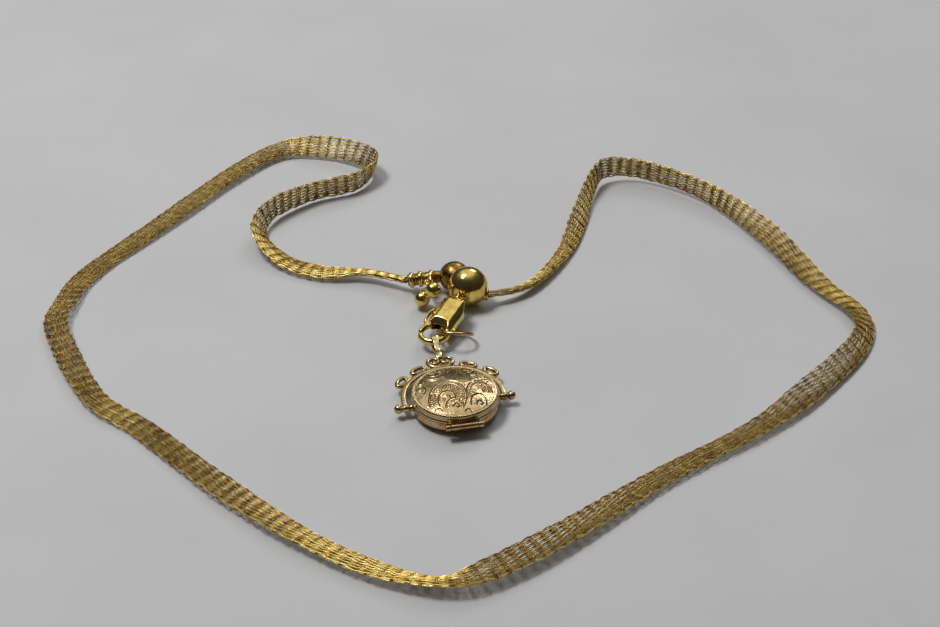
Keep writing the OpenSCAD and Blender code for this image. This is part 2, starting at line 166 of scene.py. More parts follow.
def wire_gold(name, stops, rough):
    """Fine wire whose tone follows each wire's own shade attribute (random tone, with painted shadow at the
    knit's crossings) and a patchy tarnish.
    """
    material, shader, add, link = tree_of(name)
    place = add("TexCoord").outputs["Object"]
    mm = add("Mapping", {"Vector": place, "Scale": (1000, 1000, 1000)}).outputs["Vector"]
    own = add("Attribute", attribute_name="shade").outputs["Fac"]
    patch = add("TexNoise", {"Vector": mm, "Scale": 0.55, "Detail": 4, "Roughness": 0.7}).outputs["Fac"]
    mixed = add("Math", {0: own, 1: patch}, operation="ADD").outputs["Value"]
    mixed = add("Math", {0: mixed, 1: 0.5}, operation="MULTIPLY").outputs["Value"]
    colour = ramp(add, mixed, stops)
    roughness = add("MapRange", {"Value": patch, 1: 0.3, 2: 0.7, 3: rough[0], 4: rough[1]}).outputs["Result"]
    fine = add("TexNoise", {"Vector": mm, "Scale": 14, "Detail": 2}).outputs["Fac"]
    bump = add("Bump", {"Height": fine, "Strength": 0.35, "Distance": 0.00002}).outputs["Normal"]
    link(colour, shader.inputs["Base Color"])
    link(roughness, shader.inputs["Roughness"])
    link(bump, shader.inputs["Normal"])
    shader.inputs["Metallic"].default_value = 1
    return material


WIRE = wire_gold("knitted_wire", [(0.28, (0.16, 0.09, 0.02)), (0.42, (0.48, 0.32, 0.08)),
                                  (0.55, (0.76, 0.56, 0.16)), (0.7, (0.92, 0.76, 0.34))], (0.22, 0.4))
# The cross-band wires are darker than the lengthwise ones: tarnish plus a painted shadow of the knit's
# crossings.
BAND_WIRE = wire_gold("band_wire", [(0.3, (0.1, 0.04, 0.008)), (0.5, (0.34, 0.18, 0.035)),
                                    (0.7, (0.75, 0.5, 0.12))], (0.3, 0.5))


def glass():
    material, shader, add, link = tree_of("clear_glass")
    place = add("TexCoord").outputs["Object"]
    smear = add("TexNoise", {"Vector": place, "Scale": 900, "Detail": 4}).outputs["Fac"]
    link(add("MapRange", {"Value": smear, 1: 0.4, 2: 0.8, 3: 0.02, 4: 0.22}).outputs["Result"],
         shader.inputs["Roughness"])
    link(ramp(add, smear, [(0.3, (0.9, 0.94, 0.93)), (0.7, (0.99, 1, 1))]), shader.inputs["Base Color"])
    bump = add("Bump", {"Height": smear, "Strength": 0.1, "Distance": 0.00002}).outputs["Normal"]
    link(bump, shader.inputs["Normal"])
    shader.inputs["Transmission Weight"].default_value = 1
    shader.inputs["IOR"].default_value = 1.49
    return material


def steel():
    material, shader, add, link = tree_of("spring_steel")
    place = add("TexCoord").outputs["Object"]
    smear = add("TexNoise", {"Vector": place, "Scale": 3000, "Detail": 4}).outputs["Fac"]
    link(ramp(add, smear, [(0.3, grey(0.4)), (0.7, grey(0.72))]), shader.inputs["Base Color"])
    link(add("MapRange", {"Value": smear, 1: 0.3, 2: 0.7, 3: 0.2, 4: 0.45}).outputs["Result"],
         shader.inputs["Roughness"])
    shader.inputs["Metallic"].default_value = 1
    return material


GLASS = glass()
STEEL = steel()


# ---------------------------------------------------------------- mesh tools (everything in millimetres)

def build(name, parts, material, body, nodes=(), sharp=None, values=None, outward=True):
    """One object from (vertices, faces) parts; it rides on a body and stands for CAD nodes."""
    verts, loops, starts, base, total = [], [], [], 0, 0
    for v, *faces in parts:
        verts.append(np.asarray(v, float))
        for f in faces:
            f = np.asarray(f)
            loops.append((f + base).ravel())
            starts.append(total + np.arange(len(f)) * f.shape[1])
            total += f.size
        base += len(v)
    verts = np.concatenate(verts) * MM
    loops = np.concatenate(loops).astype(np.int32)
    starts = np.concatenate(starts).astype(np.int32)
    mesh = bpy.data.meshes.new(name)
    mesh.vertices.add(len(verts))
    mesh.vertices.foreach_set("co", verts.astype(np.float32).ravel())
    mesh.loops.add(len(loops))
    mesh.loops.foreach_set("vertex_index", loops)
    mesh.polygons.add(len(starts))
    mesh.polygons.foreach_set("loop_start", starts)
    mesh.update(calc_edges=True)
    mesh.validate()
    if outward:
        shape = bmesh.new()
        shape.from_mesh(mesh)
        bmesh.ops.recalc_face_normals(shape, faces=shape.faces)
        shape.to_mesh(mesh)
        shape.free()
    mesh.polygons.foreach_set("use_smooth", np.ones(len(mesh.polygons), bool))
    if sharp:
        mesh.set_sharp_from_angle(angle=math.radians(sharp))
    if values is not None:
        layer = mesh.attributes.new(values[0], "FLOAT", "POINT")
        layer.data.foreach_set("value", np.asarray(values[1], np.float32))
    mesh.materials.append(material)
    piece = bpy.data.objects.new(name, mesh)
    bpy.context.scene.collection.objects.link(piece)
    if nodes:
        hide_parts(*nodes)
    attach(piece, body)
    return piece


def unit(v):
    v = np.asarray(v, float)
    return v / np.maximum(np.linalg.norm(v, axis=-1, keepdims=True), 1e-12)


def smoothstep(a, b, x):
    t = np.clip((x - a) / (b - a), 0, 1)
    return t * t * (3 - 2 * t)


def circle(n, r=1.0, ry=None):
    a = 2 * np.pi * np.arange(n) / n
    return np.stack([r * np.cos(a), (ry or r) * np.sin(a)], 1)


def rounded_box(w, h, r, n=4):
    """A rounded rectangle as points, w wide and h tall."""
    out = []
    for cx, cy, a in ((1, 1, 0), (-1, 1, 90), (-1, -1, 180), (1, -1, 270)):
        for k in range(n + 1):
            t = math.radians(a + 90 * k / n)
            out.append((cx * (w / 2 - r) + r * math.cos(t), cy * (h / 2 - r) + r * math.sin(t)))
    return np.array(out)


def spline(points, steps, closed=False):
    """Points on the smooth curve through the given ones."""
    p = np.asarray(points, float)
    n = len(p)
    t = (np.arange(steps) / steps)[:, None]
    out = []
    for i in range(n if closed else n - 1):
        a, b, c, d = (p[(i + k) % n] if closed else p[min(max(i + k, 0), n - 1)] for k in (-1, 0, 1, 2))
        out.append(0.5 * (2 * b + (c - a) * t + (2 * a - 5 * b + 4 * c - d) * t * t
                          + (3 * b - a - 3 * c + d) * t ** 3))
    return np.concatenate(out + ([] if closed else [p[-1:]]))


def grid_faces(n, m, closed_n, closed_m, flip=False):
    """Quads over an n by m grid of vertices."""
    i = np.arange(n if closed_n else n - 1)[:, None]
    j = np.arange(m if closed_m else m - 1)[None, :]
    i2, j2 = (i + 1) % n, (j + 1) % m
    quads = np.stack([i * m + j, i * m + j2, i2 * m + j2, i2 * m + j], -1).reshape(-1, 4)
    return quads[:, ::-1] if flip else quads


def sweep(path, profile, closed=False, scale=None, up=(0, 0, 1)):
    """A profile (side, up) carried along a path; scale is one factor per path point."""
    path = np.asarray(path, float)
    n, m = len(path), len(profile)
    if closed:
        tangent = unit(np.roll(path, -1, 0) - np.roll(path, 1, 0))
    else:
        tangent = unit(np.gradient(path, axis=0))
    up = np.broadcast_to(np.asarray(up, float), path.shape)
    side = unit(np.cross(tangent, up))
    over = np.cross(side, tangent)
    scale = np.ones(n) if scale is None else np.asarray(scale, float)
    if scale.ndim == 1:
        scale = np.stack([scale, scale], 1)
    a = profile[None, :, 0, None] * scale[:, None, 0:1] * side[:, None, :]
    b = profile[None, :, 1, None] * scale[:, None, 1:2] * over[:, None, :]
    verts = (path[:, None, :] + a + b).reshape(-1, 3)
    faces = grid_faces(n, m, closed, True)
    if closed:
        return verts, faces
    verts = np.concatenate([verts, path[:1], path[-1:]])
    k = np.arange(m)
    first = np.stack([np.full(m, n * m), (k + 1) % m, k], 1)
    last = np.stack([np.full(m, n * m + 1), (n - 1) * m + k, (n - 1) * m + (k + 1) % m], 1)
    return verts, faces, np.concatenate([first, last])


def lathe(profile, n=64, loop=False):
    """(r, z) points turned about Z. An open profile starts and ends at the axis, and a loop makes a ring."""
    profile = np.asarray(profile, float)
    a = 2 * np.pi * np.arange(n) / n
    verts = np.stack([profile[:, None, 0] * np.cos(a), profile[:, None, 0] * np.sin(a),
                      np.broadcast_to(profile[:, None, 1], (len(profile), n))], -1).reshape(-1, 3)
    return verts, grid_faces(len(profile), n, loop, True)


def along(part, start, end):
    """Moves a part whose axis is Z so that it starts at one point and heads for another."""
    z = unit(np.subtract(end, start))
    x = unit(np.cross((0, 0, 1) if abs(z[2]) < 0.9 else (0, 1, 0), z))
    basis = np.stack([x, np.cross(z, x), z])
    return (np.asarray(part[0]) @ basis + np.asarray(start), *part[1:])


def put(part, matrix, origin):
    return (np.asarray(part[0]) @ np.asarray(matrix).T + np.asarray(origin), *part[1:])


def turned(z_deg, y_deg=0, x_deg=0):
    z, y, x = (math.radians(a) for a in (z_deg, y_deg, x_deg))
    rz = np.array([[math.cos(z), -math.sin(z), 0], [math.sin(z), math.cos(z), 0], [0, 0, 1]])
    ry = np.array([[math.cos(y), 0, math.sin(y)], [0, 1, 0], [-math.sin(y), 0, math.cos(y)]])
    rx = np.array([[1, 0, 0], [0, math.cos(x), -math.sin(x)], [0, math.sin(x), math.cos(x)]])
    return rz @ ry @ rx


def fillet(points, radii, n=5):
    """A polyline with its corners rounded: one radius per point."""
    p = np.asarray(points, float)
    out = [p[0]]
    for i in range(1, len(p) - 1):
        a, b = unit(p[i - 1] - p[i]), unit(p[i + 1] - p[i])
        angle = math.acos(np.clip(a @ b, -1, 1))
        r = radii[i] if not np.isscalar(radii) else radii
        reach = min(r / math.tan(angle / 2), 0.48 * np.linalg.norm(p[i - 1] - p[i]),
                    0.48 * np.linalg.norm(p[i + 1] - p[i])) if r > 0 and angle < 3.1 else 0
        if reach <= 0:
            out.append(p[i])
            continue
        for k in range(n + 1):
            t = k / n
            out.append((1 - t) ** 2 * (p[i] + a * reach) + 2 * t * (1 - t) * p[i]
                       + t * t * (p[i] + b * reach))
    out.append(p[-1])
    return np.array(out)


def ring(r, wire, n=64, m=14, uneven=0.0):
    """A jump ring about Z."""
    a = 2 * np.pi * np.arange(n) / n
    path = np.stack([r * np.cos(a), r * np.sin(a) * (1 + uneven), 0 * a], 1)
    return sweep(path, circle(m, wire), closed=True)


def smin(a, b, k):
    h = np.clip(0.5 + 0.5 * (b - a) / k, 0, 1)
    return b + (a - b) * h - k * h * (1 - h)


def smax(a, b, k):
    return -smin(-a, -b, k)


def skin(field, low, high, step):
    """The surface where a distance-like field is 0, as quads that lie on it."""
    axes = [np.arange(lo, hi + step, step) for lo, hi in zip(low, high)]
    grid = np.stack(np.meshgrid(*axes, indexing="ij"), -1)
    f = field(grid.reshape(-1, 3)).reshape(grid.shape[:3])
    inside = f < 0
    cells = tuple(s - 1 for s in f.shape)
    total, count = np.zeros((*cells, 3)), np.zeros(cells)
    corner = [(slice(0, -1), slice(1, None))[b] for b in (0, 1)]
    for axis in range(3):
        for p in (0, 1):
            for q in (0, 1):
                bits = [0, 0, 0]
                bits[(axis + 1) % 3], bits[(axis + 2) % 3] = p, q
                far = list(bits)
                far[axis] = 1
                f0 = f[tuple(corner[b] for b in bits)]
                f1 = f[tuple(corner[b] for b in far)]
                cut = (f0 < 0) != (f1 < 0)
                t = np.where(cut, f0 / np.where(cut, f0 - f1, 1), 0)
                for d in range(3):
                    total[..., d] += np.where(cut, t if d == axis else bits[d], 0)
                count += cut
    used = count > 0
    index = np.full(cells, -1)
    index[used] = np.arange(used.sum())
    points = np.argwhere(used) + total[used] / count[used][:, None]
    points = np.array([a[0] for a in axes]) + points * step
    quads = []
    for axis in range(3):
        b, c = (axis + 1) % 3, (axis + 2) % 3
        near, far = [slice(1, -1)] * 3, [slice(1, -1)] * 3
        near[axis], far[axis] = slice(0, -1), slice(1, None)
        start = inside[tuple(near)]
        cut = start != inside[tuple(far)]
        at = np.argwhere(cut) + np.array([0 if d == axis else 1 for d in range(3)])
        eb, ec = np.eye(3, dtype=int)[b], np.eye(3, dtype=int)[c]
        four = [index[tuple((at - x).T)] for x in (eb + ec, ec, 0 * eb, eb)]
        face = np.stack(four, 1)
        out = start[cut]
        quads.append(np.where(out[:, None], face, face[:, ::-1]))
    for _ in range(3):
        value = field(points)
        e = step * 0.1
        slope = np.stack([(field(points + e * np.eye(3)[d]) - field(points - e * np.eye(3)[d])) / (2 * e)
                          for d in range(3)], 1)
        move = slope * (value / np.maximum((slope ** 2).sum(1), 0.05))[:, None]
        points = points - np.clip(move, -step / 2, step / 2)
    return points, np.concatenate(quads)


# ---------------------------------------------------------------- the ribbon

ROUTE = [[-1, 33.5], [-7, 38], [-14, 40.5], [-19.5, 45.5], [-22.5, 53], [-19.5, 59.5],
         [-12, 64.5], [-4, 66.5], [0, 71], [-1.5, 76], [-7.5, 80.5], [-15, 82.5], [-24, 76.5],
         [-37.5, 62.5], [-50.5, 49], [-55, 40], [-56.5, 32], [-52, 14], [-45, 4], [-35.5, -12],
         [-26.5, -24.5], [-18, -33], [-10, -38], [-3, -37.5], [8, -32.5], [25, -22], [42, -14],
         [54, -6.5], [64, 2.5], [67, 11], [64, 21], [60.5, 36], [54.5, 50.5], [46, 59.5], [39.5, 61],
         [36, 57], [31.5, 48], [26, 38], [18, 29], [10.9, 26.7]]
# How the flat ribbon leans at each point of the route, in degrees: 0 lies flat, 90 stands on edge
LEAN = [-10, -10, 5, -10, -45, -85, -95, -95, -110, -125, -125, -160, -180, -180, -180, -190, -195,
        -172, -180, -186, -172, -170, -157, -184, -192, -174, -174, -212, -220, -196, -182, -148,
        -95, -86, -95, -105, -130, -165, -200, -200]
# The ribbon's width at some points of the route, as a share of its full width
WIDTH = {0: 0.26, 1: 0.42, 2: 0.8, 11: 0.86, 20: 0.92, 22: 0.85, 32: 0.88,
         36: 0.9, 37: 0.62, 38: 0.42, 39: 0.26}
RIBBON_W = 4.0
BAND = 1.85          # from one cross band of the knit to the next
WIRES = 28           # lengthwise wires round the tube
WIRE_R = 0.078
BAND_WIRE_R = 0.07


def ribbon_line(spacing):
    """Even samples along the ribbon: centre, across vector, face normal, width factor and length so far."""
    lean = np.radians(LEAN)
    width = np.array([WIDTH.get(i, 1.0) for i in range(len(ROUTE))])
    k = np.arange(len(ROUTE))
    lift = 0.28 + 0.24 * np.sin(1.7 * k) + 0.16 * np.sin(0.6 * k + 1)
    z = 0.5 + (RIBBON_W / 2 - 0.1) * np.abs(np.sin(lean)) * width + lift
    z[[23, 24]] += 0.7
    z[:2], z[-2:] = (2.0, 1.5), (1.4, 2.0)
    rows = np.column_stack([np.array(ROUTE, float), z, lean, width])
    fine = spline(rows, 24)
    run = np.concatenate([[0], np.cumsum(np.linalg.norm(np.diff(fine[:, :3], axis=0), axis=1))])
    n = int(round(run[-1] / spacing))
    at = np.linspace(0, run[-1], n + 1)
    fine = np.stack([np.interp(at, run, fine[:, k]) for k in range(5)], 1)
    centre = fine[:, :3]
    tangent = unit(np.gradient(centre, axis=0))
    flat = unit(np.stack([tangent[:, 1], -tangent[:, 0], 0 * at], 1))
    rise = np.cross(flat, tangent)
    rise *= np.sign(rise[:, 2:3])
    across = flat * np.cos(fine[:, 3:4]) + rise * np.sin(fine[:, 3:4])
    return centre, tangent, across, np.cross(tangent, across), fine[:, 4], at


def tubes(paths, radius, shades):
    """Three-sided wires along many paths at once: paths is (wires, points, 3)."""
    w, n = paths.shape[:2]
    tangent = unit(np.gradient(paths, axis=1))
    ref = np.broadcast_to(np.array([0.0, 0.0, 1.0]), paths.shape)
    side = unit(np.cross(tangent, ref + 1e-3))
    over = np.cross(side, tangent)
    a = 2 * np.pi * (np.arange(3) / 3 + 0.25)
    verts = (paths[:, :, None, :] + radius * (np.cos(a)[:, None] * side[:, :, None, :]
             + np.sin(a)[:, None] * over[:, :, None, :])).reshape(-1, 3)
    faces = grid_faces(n, 3, False, True)
    faces = (faces[None] + (np.arange(w) * n * 3)[:, None, None]).reshape(-1, 4)
    ends = np.array([[2, 1, 0], [n * 3 - 3, n * 3 - 2, n * 3 - 1]])
    ends = (ends[None] + (np.arange(w) * n * 3)[:, None, None]).reshape(-1, 3)
    return (verts, faces, ends), np.repeat(shades.ravel(), 3)


def ribbon():
    per_band = 4
    centre, tangent, across, face, width, at = ribbon_line(BAND / per_band)
    n = len(at)
    drift = np.cumsum(rng.normal(0, 0.012, n))
    phase = at / BAND + drift
    pinch = 0.5 + 0.5 * np.cos(2 * np.pi * phase)
    tooth = (phase % 1)
    half = RIBBON_W / 2 * width * (0.95 + 0.1 * tooth - 0.03 * pinch)
    half = half * (1 + 0.03 * np.sin(at / 5.3) + 0.02 * np.sin(at / 2.1 + 1))
    thick = np.interp(width, [0.26, 0.42, 0.75, 1], [0.5, 0.55, 0.5, 0.3]) * (1 - 0.25 * pinch)

    def surface(t, shift):
        """Points round the flattened tube: t from 0 to 2, one for each face, for every sample."""
        u = (t[:, None] + shift) % 2
        x = np.where(u < 1, 2 * u - 1, 3 - 2 * u)
        y = np.sqrt(np.clip(1 - np.abs(x) ** 2.6, 0, 1)) * np.where(u < 1, 1, -1)
        return (centre + (x * half)[:, :, None] * across + (y * thick)[:, :, None] * face)

    k = np.arange(WIRES)
    t = 2 * (k + 0.5) / WIRES
    wobble = rng.normal(0, 0.006, (WIRES, n))
    wobble = (wobble + np.roll(wobble, 1, 1) + np.roll(wobble, -1, 1)) * 0.9
    zigzag = 0.62 / WIRES * np.where(k % 2, 1, -1)[:, None] * np.cos(np.pi * phase)[None, :]
    paths = surface(t, zigzag + wobble * 0.6)
    shade = 0.5 + 0.2 * rng.standard_normal(WIRES)[:, None] * 0.6 + 0.1 * rng.standard_normal((WIRES, n))
    # Painted shadow: the wires' tone is darkened where the knit pinches at each cross band.
    shade = shade - 0.22 * pinch ** 3
    part, shades = tubes(paths, WIRE_R, shade)
    wires = build("ribbon_wires", [part], WIRE, "chain", ["ribbon"],
                  values=("shade", shades), outward=False)
    bands = []
    tints = []
    for shift in (-0.07, 0.07):
        marks = np.arange(1, int(phase[-1])) + shift
        i = np.interp(marks, phase, np.arange(n))

        def pick(a):
            low = np.clip(i.astype(int), 0, n - 2)
            f = i - low
            f = f.reshape(-1, *([1] * (a.ndim - 1)))
            return a[low] * (1 - f) + a[low + 1] * f

        m = 26
        u = 2 * np.arange(m + 1) / m
        x = np.where(u % 2 < 1, 2 * (u % 2) - 1, 3 - 2 * (u % 2))
        y = np.sqrt(np.clip(1 - np.abs(x) ** 2.6, 0, 1)) * np.where(u % 2 < 1, 1, -1)
        c, ac, fa, tg = pick(centre), pick(unit(across)), pick(unit(face)), pick(tangent)
        h, th = pick(half), pick(thick)
        weave = np.where(np.arange(m + 1) % 2, 0.05, -0.05)
        path = (c[:, None] + (h[:, None] * x * 1.01)[..., None] * ac[:, None]
                + ((th[:, None] + 0.03 + weave) * y)[..., None] * fa[:, None]
                + (0.1 * np.sin(9 * x + 3 * marks[:, None]) + 0.12 * x)[..., None] * tg[:, None])
        part, tint = tubes(path, BAND_WIRE_R, 0.45 + 0.15 * rng.standard_normal(path.shape[:2]))
        bands.append(part)
        tints.append(tint)
    bands = build("ribbon_bands", bands, BAND_WIRE, "chain", (),
                  values=("shade", np.concatenate(tints)), outward=False)
    line = centre[::4]
    line = np.concatenate([line, centre[-1:]]) * MM


ribbon()


# ---------------------------------------------------------------- ball join, crimp and beads

BALL = np.array([7.8, 27.9, 3.2])
CUP = np.array([6.4, 31.6, 2.9])
BALL_R = 3.2
CLASP_AT = np.array([0.2, 17.45, 2.14])
CLASP = turned(-128, 8)
TAIL = CLASP_AT + CLASP @ np.array([-7.9, 0, 0])
LINK_X = unit(TAIL - BALL)
LINK_Y = unit(np.array([-LINK_X[1], LINK_X[0], 0]))
LINK = np.stack([LINK_X, LINK_Y, np.cross(LINK_X, LINK_Y)], 1)


def link_at(reach):
    return BALL + LINK_X * reach


def globe(r, n=48, rows=32, seam=None):
    """A ball about Z as a lathe, with a fine groove at a height if asked for."""
    a = np.linspace(-np.pi / 2, np.pi / 2, rows + 1)
    if seam is not None:
        at = math.asin(seam / r)
        a = np.sort(np.concatenate([a, at + np.array([-0.05, -0.03, -0.015, 0, 0.015, 0.03, 0.05])]))
        rr = r - 0.07 * np.exp(-((a - at) / 0.018) ** 2) + 0.02 * np.exp(-((a - at + 0.05) / 0.03) ** 2)
    else:
        rr = r
    return lathe(np.stack([np.maximum(rr * np.cos(a), 0.003), rr * np.sin(a)], 1), n)


def chain_pieces():
    build("ball", [along(globe(BALL_R, 96, 64, seam=2.05), BALL, CUP)], YELLOW, "chain", ["join_ball"])
    centre_t = np.linalg.norm(CUP - BALL)
    a = np.linspace(np.pi / 2, math.asin((2.62 - centre_t) / 2.5), 26)
    dome = [(max(2.5 * math.cos(t), 0.003), centre_t + 2.5 * math.sin(t)) for t in a]
    rim = [(2.2, 2.56), (2.28, 2.5), (2.28, 2.42), (2.2, 2.4), (2.14, 2.42)]
    t = np.linspace(0.71, 0.003, 10)
    under = [((BALL_R + 0.03) * math.sin(x), (BALL_R + 0.03) * math.cos(x)) for x in t]
    build("cup", [along(lathe(dome + rim + under, 64), BALL, CUP)], BROWN, "chain", ["left_cup"],
          sharp=40)
    start, end = np.array([-0.9, 33.4, 2.0]), np.array([4.4, 32.6, 2.6])
    sleeve = [(0.003, 0.3), (0.72, 0.3), (0.78, 0.06), (0.84, 0.0), (0.93, 0.03), (0.99, 0.16), (1.0, 1.2),
              (0.94, 1.35), (0.94, 1.5), (1.0, 1.65), (1.02, 2.6), (0.95, 2.75), (0.95, 2.95), (1.02, 3.05),
              (1.03, 4.4), (0.97, 5.0), (0.93, 5.41), (0.003, 5.41)]
    build("crimp_sleeve", [along(lathe(fillet(sleeve, 0.1, 3), 40), start, end)], BROWN, "chain",
          ["left_crimp"], sharp=50)
    bands = []
    for at, r in ((0.25, 1.26), (1.7, 1.3), (3.5, 1.26)):
        loop = [(1.0, at), (r - 0.12, at + 0.02), (r - 0.02, at + 0.14), (r, at + 0.35),
                (r - 0.02, at + 0.56), (r - 0.12, at + 0.68), (1.0, at + 0.7)]
        bands.append(along(lathe(loop, 40, loop=True), start, end))
    build("crimp_bands", bands, YELLOW, "chain", ["crimp_collars"])
    build("crimp_ring", [put(ring(0.55, 0.22, 40), np.eye(3), (2.1, 31.3, 2.6))], YELLOW, "chain",
          ["crimp_eye"])
    mouth, root = np.array([10.9, 26.7, 2.0]), np.array([9.4, 27.2, 2.0])
    ferrule = [(0.003, 0.16), (0.7, 0.16), (0.78, 0.03), (0.86, 0.0), (0.95, 0.05), (0.98, 0.2), (0.92, 0.42),
               (0.97, 0.6), (1.08, 0.8), (1.1, 1.2), (1.1, 1.72), (0.003, 1.72)]
    build("ribbon_ferrule", [along(lathe(fillet(ferrule, 0.08, 3), 40), mouth, root)], YELLOW, "chain",
          ["right_ferrule"], sharp=50)
    build("ball_loop", [put(ring(0.7, 0.22, 48), LINK, link_at(3.4))], YELLOW, "chain", ["ball_eye"])
    upright = np.stack([LINK[:, 0], LINK[:, 2], -LINK[:, 1]], 1)
    build("hang_link", [put(ring(0.78, 0.22, 48), upright, link_at(4.3))], YELLOW, "hang_ring",
          ["hang_ring"])
    build("charm_link", [put(ring(1.25, 0.21, 56), turned(0, 90), (2.1, 30.15, 3.1))], YELLOW, "charm_ring",
          ["charm_ring"])
    upper, lower = np.array([2.1, 27.45, 3.5]), np.array([0.4, 28.0, 1.7])
    a = np.radians(np.linspace(-32, 212, 26))
    eye = np.stack([upper[0] + 0.55 * np.cos(a), upper[1] + 1.53 + 0.55 * np.sin(a), 0 * a + upper[2]], 1)
    build("bead_top", [along(globe(1.27, 48, 32, seam=0.82), upper, lower), sweep(eye, circle(12, 0.2))],
          YELLOW, "beads", ["bead_upper"])
    gap = np.linalg.norm(lower - upper)
    neck = [(0.45, 1.1), (0.62, 1.12), (0.66, 1.18), (0.6, gap / 2), (0.66, gap - 1.18), (0.62, gap - 1.12),
            (0.45, gap - 1.1)]
    build("bead_collar", [along(lathe(neck, 32, loop=True), upper, lower)], YELLOW, "beads", ["bead_neck"])
    build("bead_bottom", [along(globe(1.27, 48, 32, seam=0.82), lower, upper)], YELLOW, "beads",
          ["bead_lower"])


# ---------------------------------------------------------------- lobster clasp

def arc_tube(p, r, half, lo, hi, squash=1.0):
    """Distance to a bar bent round the origin between two angles; half is its radius at each end."""
    a = np.degrees(np.arctan2(p[:, 1], p[:, 0]))
    mid = (lo + hi) / 2
    a = (a - mid + 180) % 360 - 180 + mid
    a = np.clip(a, lo, hi)
    t = (a - lo) / (hi - lo)
    c = np.stack([r * np.cos(np.radians(a)), r * np.sin(np.radians(a))], 1)
    d = np.sqrt(((p[:, :2] - c) ** 2).sum(1) + (p[:, 2] / squash) ** 2)
    return d - (half[0] + (half[1] - half[0]) * t)


def rope(p, points, radii, squash=1.0):
    """Distance to a bent bar through points, with a radius at each."""
    best = None
    for a, b, ra, rb in zip(points, points[1:], radii, radii[1:]):
        a, b = np.array([*a, 0.0]), np.array([*b, 0.0])
        q = p * np.array([1, 1, 1 / squash])
        t = np.clip(((q - a) @ (b - a)) / ((b - a) @ (b - a)), 0, 1)
        d = np.linalg.norm(q - a - t[:, None] * (b - a), axis=1) - (ra + (rb - ra) * t)
        best = d if best is None else smin(best, d, 0.12)
    return best


def clasp_field(p):
    x, y, z = p.T
    up = np.abs(z)
    body = smax(up - 1.42, y - 2.52, 0.2)
    for value in (-y - 1.86, 0.726 * y + 0.688 * up - 2.2, -0.611 * y + 0.791 * up - 1.63, -x - 8.3,
                  -0.819 * x + 0.573 * y - 7.35, -0.351 * x + 0.936 * y - 4.3,
                  -0.651 * x - 0.759 * y - 6.25, -0.5 * x + 0.866 * up - 4.85, x + 1.05,
                  0.819 * x - 0.573 * y + 0.45):
        body = smax(body, value, 0.16)
    reach = np.hypot(x, y)
    body = smax(body, 1.47 - reach, 0.14)
    body = smax(body, 0.707 * (1.05 + up - reach), 0.12)
    hook = arc_tube(p, 2.05, (0.46, 0.62), -50, 142, 1.12)
    body = smin(body, hook, 0.3)
    body = smax(body, 1.28 - reach, 0.1)
    lug = smax(np.hypot(x + 7.9, y) - 0.74, up - 0.4, 0.12)
    body = smin(body, lug, 0.25)
    body = smax(body, 0.43 - np.hypot(x + 7.9, y), 0.08)
    slot = np.maximum(np.maximum(up - 0.52, y - 0.6), np.maximum(-4.45 - x, x - 0.2))
    return smax(body, -slot, 0.06)


def gate_field(p):
    tongue = arc_tube(p, 2.06, (0.44, 0.42), -138, -80, 1.15)
    stem = rope(p, [(-3.3, -0.9), (-2.3, -1.12), (-1.5, -1.4)], [0.5, 0.42, 0.4])
    gate = smin(tongue, stem, 0.25)
    flat = np.where(p[:, 0] < -1.25, 0.42, 0.42 + 0.2 * np.clip((p[:, 0] + 1.25) / 0.6, 0, 1))
    gate = smax(gate, np.abs(p[:, 2]) - flat, 0.14)
    lever = rope(p, [(-1.35, -1.95), (-1.9, -2.42), (-2.9, -2.68), (-3.9, -2.68), (-4.75, -2.38)],
                 [0.3, 0.24, 0.22, 0.22, 0.27], 1.9)
    lever = smax(lever, np.abs(p[:, 2]) - 0.46, 0.1)
    return smin(gate, lever, 0.2)


def clasp_pieces():
    body = skin(clasp_field, (-9.0, -2.2, -1.7), (2.9, 2.9, 1.7), 0.068)
    build("clasp_shell", [put(body, CLASP, CLASP_AT)], YELLOW, "clasp", ["clasp_body"])
    gate = skin(gate_field, (-5.3, -3.2, -0.8), (1.5, -0.1, 0.8), 0.05)
    build("clasp_lever", [put(gate, CLASP, CLASP_AT)], YELLOW, "gate", ["clasp_gate"])
    pin = [(0.003, -1.24), (0.2, -1.22), (0.25, -1.16), (0.25, 1.16), (0.2, 1.22), (0.003, 1.24)]
    build("clasp_rivet", [put(lathe(pin, 24), CLASP, CLASP_AT + CLASP @ np.array([-3.3, -0.9, 0]))], YELLOW,
          "clasp", ["clasp_pin"], sharp=40)
    a = np.linspace(0, 2 * np.pi * 6, 150)
    coil = np.stack([-5.35 + 1.0 * a / a[-1], 0.1 + 0.28 * np.cos(a), 0.28 * np.sin(a)], 1)
    build("clasp_coil", [put(sweep(coil, circle(6, 0.06), up=(1, 0.02, 0.01)), CLASP, CLASP_AT)], STEEL,
          "clasp", ["clasp_spring"])
    lean = turned(-19) @ turned(0, 0, -33)
    build("thin_ring", [put(ring(2.75, 0.26, 110, uneven=-0.02), lean, (3.5, 17.3, 1.8))], CASE, "end_ring",
          ["end_ring"])


# ---------------------------------------------------------------- bail and bow

PIVOT_Z = 1.5
LEG = 1.05


